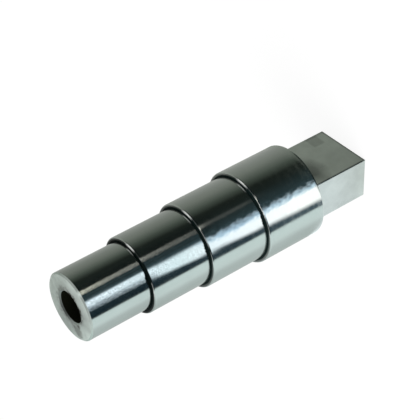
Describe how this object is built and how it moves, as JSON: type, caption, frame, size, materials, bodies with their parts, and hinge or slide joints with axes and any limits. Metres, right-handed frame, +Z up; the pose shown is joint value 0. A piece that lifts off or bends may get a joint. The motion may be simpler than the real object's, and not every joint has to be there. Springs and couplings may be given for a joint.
{
  "type": "stepped mandrel",
  "caption": "Round stepped forming mandrel of ground steel, with a blind bore in its small end and a rectangular tang at its large end for a vise.",
  "frame": {"origin": "middle of the tang's end face, which the mandrel stands on", "axes": "+Z up the turning axis from the tang to the small bored end; the tang's broad faces look along Y and its narrow faces along X"},
  "size_m": [0.065, 0.065, 0.225],
  "materials": {
    "ground_steel": "steps ground and polished round the axis, end face and tang left as milled and ground"
  },
  "bodies": {
    "root": {"mandrel": "ground_steel"}
  },
  "joints": []
}
